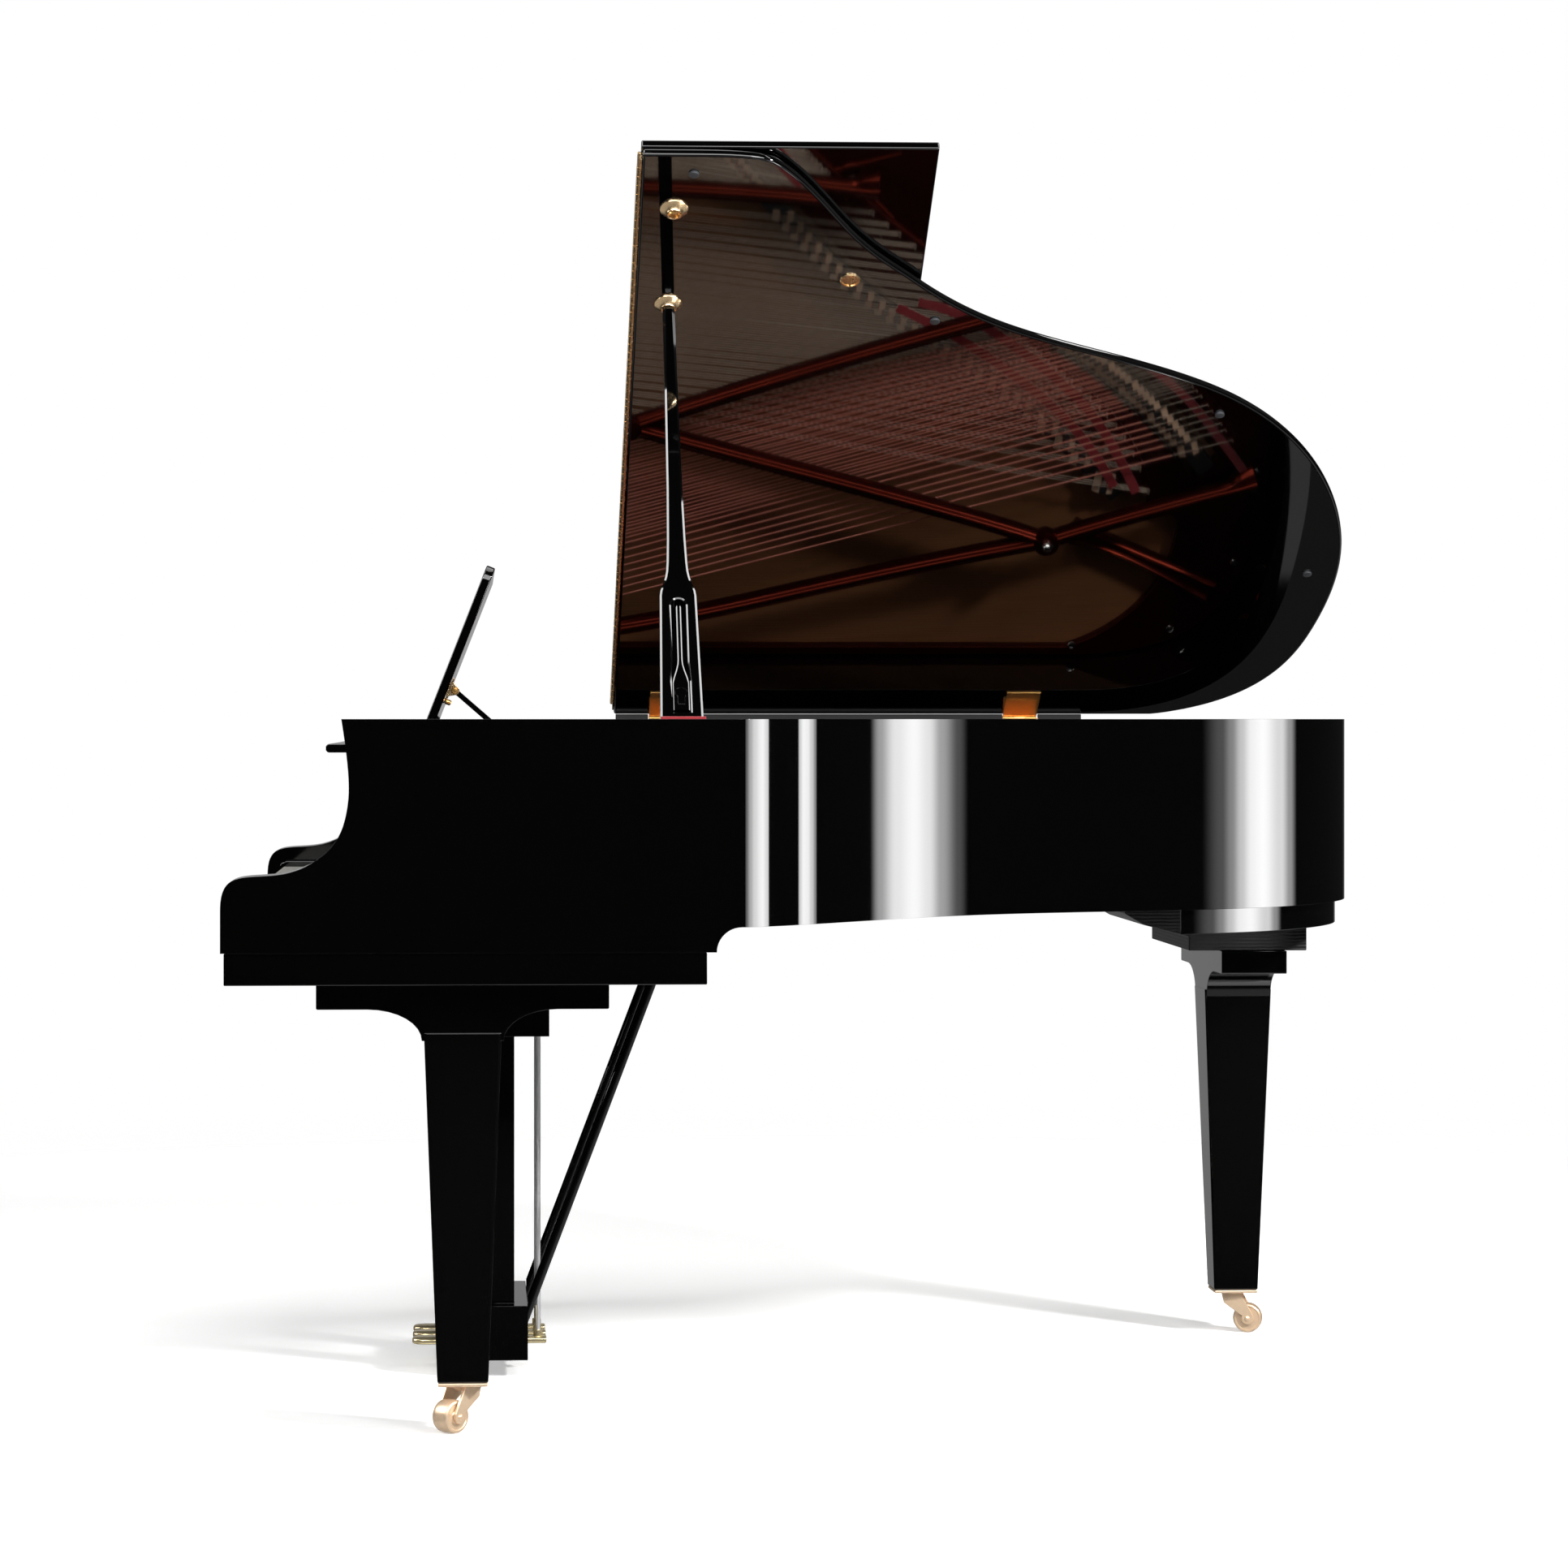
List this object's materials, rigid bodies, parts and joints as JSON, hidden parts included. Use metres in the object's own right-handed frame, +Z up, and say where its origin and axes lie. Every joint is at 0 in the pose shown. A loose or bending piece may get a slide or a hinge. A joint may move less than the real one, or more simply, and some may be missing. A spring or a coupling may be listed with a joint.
{
  "type": "grand piano",
  "caption": "Grand piano on caster legs, lid propped open over its iron plate and strings, with folding music desk, fallboard, keyboard and pedal lyre.",
  "frame": {"origin": "on the floor under the middle of the piano's plan at rest", "axes": "+X towards the treble side, +Y from the keyboard towards the tail, +Z up"},
  "size_m": [1.5076, 1.7409, 1.7955],
  "materials": {
    "black_lacquer": "high gloss black polyester lacquer",
    "satin_brass": "satin brass",
    "bronze_paint": "bronze paint on cast iron",
    "spruce": "varnished spruce",
    "stained_wood": "dark stained wood",
    "maple": "pale hardwood",
    "bright_steel": "polished steel",
    "string_copper": "copper winding",
    "key_ivory_white": "white covered wooden keys"
  },
  "bodies": {
    "case": {"bass_bridge": "maple", "bass_strings": "string_copper", "belly_rail": "stained_wood", "braces": "stained_wood", "caster_plate_bass": "satin_brass", "caster_plate_tail": "satin_brass", "caster_plate_treble": "satin_brass", "hinge_rim_leaf_front": "satin_brass", "hinge_rim_leaf_rear": "satin_brass", "inner_rim": "stained_wood", "iron_plate": "bronze_paint", "key_block_bass": "black_lacquer", "key_block_treble": "black_lacquer", "key_slip": "black_lacquer", "keybed": "black_lacquer", "leg_bass": "black_lacquer", "leg_tail": "black_lacquer", "leg_treble": "black_lacquer", "lyre_brace_bass": "black_lacquer", "lyre_brace_treble": "black_lacquer", "lyre_frame": "black_lacquer", "pin_block": "maple", "prop_foot": "satin_brass", "rim": "black_lacquer", "soundboard": "spruce", "stretcher": "black_lacquer", "tail_leg_block": "stained_wood", "tail_skirt": "black_lacquer", "treble_bridge": "maple", "treble_strings": "bright_steel"},
    "lid": {"lid_main": "black_lacquer", "piano_hinge": "satin_brass", "prop_cup_full": "satin_brass", "prop_cup_half": "satin_brass", "hinge_lid_leaf_front": "satin_brass", "hinge_lid_leaf_rear": "satin_brass"},
    "lid_flap": {"lid_front_flap": "black_lacquer"},
    "prop": {"lid_prop": "black_lacquer"},
    "short_prop": {"short_prop": "black_lacquer"},
    "fallboard": {"fallboard": "black_lacquer"},
    "music_tray": {"music_tray": "black_lacquer"},
    "music_desk": {"music_desk": "black_lacquer"},
    "desk_stay": {"desk_stay": "satin_brass"},
    "key_frame": {"key_frame": "maple", "action_rail": "maple"},
    "natural_keys": {"natural_keys": "key_ivory_white"},
    "sharp_keys": {"sharp_keys": "black_lacquer"},
    "dampers": {"damper_rail": "black_lacquer"},
    "pedal_left": {"pedal_left": "satin_brass"},
    "pedal_rod_left": {"pedal_rod_left": "bright_steel"},
    "pedal_middle": {"pedal_middle": "satin_brass"},
    "pedal_rod_middle": {"pedal_rod_middle": "bright_steel"},
    "pedal_right": {"pedal_right": "satin_brass"},
    "pedal_rod_right": {"pedal_rod_right": "bright_steel"},
    "caster_fork_treble": {"caster_fork_treble": "satin_brass"},
    "caster_wheel_treble": {"caster_wheel_treble": "satin_brass"},
    "caster_fork_bass": {"caster_fork_bass": "satin_brass"},
    "caster_wheel_bass": {"caster_wheel_bass": "satin_brass"},
    "caster_fork_tail": {"caster_fork_tail": "satin_brass"},
    "caster_wheel_tail": {"caster_wheel_tail": "satin_brass"}
  },
  "joints": [
    {"name": "lid_lift", "type": "hinge", "parent": "case", "child": "lid", "pos_m": [-0.7518, -0.29575, 0.981], "axis": [0, -1, 0], "range_deg": [0, 50]},
    {"name": "flap_fold", "type": "hinge", "parent": "lid", "child": "lid_flap", "pos_m": [-0.11967, -0.29575, 1.38831], "axis": [0.8526, 0, 0.5225], "range_deg": [0, 180]},
    {"name": "prop_fold", "type": "hinge", "parent": "case", "child": "prop", "pos_m": [0.6788, -0.24275, 0.958], "axis": [0, -1, 0], "range_deg": [0, 55.1]},
    {"name": "short_prop_flip", "type": "hinge", "parent": "prop", "child": "short_prop", "pos_m": [0.66601, -0.24275, 0.99296], "axis": [0, 1, 0], "range_deg": [0, 60]},
    {"name": "fallboard_close", "type": "hinge", "parent": "case", "child": "fallboard", "pos_m": [0, -0.68575, 0.768], "axis": [1, 0, 0], "range_deg": [0, 88.8]},
    {"name": "tray_slide", "type": "slide", "parent": "case", "child": "music_tray", "axis": [0, 1, 0], "range_m": [-0.03, 0.035]},
    {"name": "desk_fold", "type": "hinge", "parent": "music_tray", "child": "music_desk", "pos_m": [0, -0.59775, 0.9403], "axis": [-1, 0, 0], "range_deg": [0, 58]},
    {"name": "stay_fold", "type": "hinge", "parent": "music_desk", "child": "desk_stay", "pos_m": [0, -0.55673, 1.02304], "axis": [-1, 0, 0], "range_deg": [-99, 0]},
    {"name": "una_corda_slide", "type": "slide", "parent": "case", "child": "key_frame", "axis": [1, 0, 0], "range_m": [0, 0.0025]},
    {"name": "natural_dip", "type": "hinge", "parent": "key_frame", "child": "natural_keys", "pos_m": [0, -0.60075, 0.714], "axis": [1, 0, 0], "range_deg": [0, 2.4], "stiffness_Nm_per_rad": 300, "springref_deg": -5.73},
    {"name": "sharp_dip", "type": "hinge", "parent": "key_frame", "child": "sharp_keys", "pos_m": [0, -0.60075, 0.714], "axis": [1, 0, 0], "range_deg": [0, 2.4], "stiffness_Nm_per_rad": 100, "springref_deg": -5.73},
    {"name": "damper_lift", "type": "slide", "parent": "case", "child": "dampers", "axis": [0, 0, 1], "range_m": [0, 0.006]},
    {"name": "pedal_press_left", "type": "hinge", "parent": "case", "child": "pedal_left", "pos_m": [-0.066, -0.47575, 0.046], "axis": [1, 0, 0], "range_deg": [0, 6], "stiffness_Nm_per_rad": 40, "springref_deg": -11.46},
    {"name": "pedal_rod_lift_left", "type": "slide", "parent": "case", "child": "pedal_rod_left", "axis": [0, 0, 1], "range_m": [0, 0.00518]},
    {"name": "pedal_press_middle", "type": "hinge", "parent": "case", "child": "pedal_middle", "pos_m": [0, -0.47575, 0.046], "axis": [1, 0, 0], "range_deg": [0, 6], "stiffness_Nm_per_rad": 40, "springref_deg": -11.46},
    {"name": "pedal_rod_lift_middle", "type": "slide", "parent": "case", "child": "pedal_rod_middle", "axis": [0, 0, 1], "range_m": [0, 0.00518]},
    {"name": "pedal_press_right", "type": "hinge", "parent": "case", "child": "pedal_right", "pos_m": [0.066, -0.47575, 0.046], "axis": [1, 0, 0], "range_deg": [0, 6], "stiffness_Nm_per_rad": 40, "springref_deg": -11.46},
    {"name": "pedal_rod_lift_right", "type": "slide", "parent": "case", "child": "pedal_rod_right", "axis": [0, 0, 1], "range_m": [0, 0.00518]},
    {"name": "caster_swivel_treble", "type": "hinge", "parent": "case", "child": "caster_fork_treble", "pos_m": [0.6408, -0.54345, 0.07], "axis": [0, 0, 1], "continuous": true},
    {"name": "caster_roll_treble", "type": "hinge", "parent": "caster_fork_treble", "child": "caster_wheel_treble", "pos_m": [0.65777, -0.56042, 0.023], "axis": [-0.7071, -0.7071, 0], "continuous": true},
    {"name": "caster_swivel_bass", "type": "hinge", "parent": "case", "child": "caster_fork_bass", "pos_m": [-0.6408, -0.54345, 0.07], "axis": [0, 0, 1], "continuous": true},
    {"name": "caster_roll_bass", "type": "hinge", "parent": "caster_fork_bass", "child": "caster_wheel_bass", "pos_m": [-0.62001, -0.53145, 0.023], "axis": [0.5, -0.866, 0], "continuous": true},
    {"name": "caster_swivel_tail", "type": "hinge", "parent": "case", "child": "caster_fork_tail", "pos_m": [-0.3008, 0.68525, 0.07], "axis": [0, 0, 1], "continuous": true},
    {"name": "caster_roll_tail", "type": "hinge", "parent": "caster_fork_tail", "child": "caster_wheel_tail", "pos_m": [-0.29581, 0.70873, 0.023], "axis": [0.9781, -0.2079, 0], "continuous": true}
  ],
  "couplings": [
    {"joint": "stay_fold", "follows": "desk_fold", "ratio": -1.7},
    {"joint": "pedal_rod_lift_left", "follows": "pedal_press_left", "m_per_rad": 0.049},
    {"joint": "pedal_rod_lift_middle", "follows": "pedal_press_middle", "m_per_rad": 0.049},
    {"joint": "pedal_rod_lift_right", "follows": "pedal_press_right", "m_per_rad": 0.049},
    {"joint": "una_corda_slide", "follows": "pedal_press_left", "m_per_rad": 0.02386},
    {"joint": "damper_lift", "follows": "pedal_press_right", "m_per_rad": 0.05727}
  ]
}
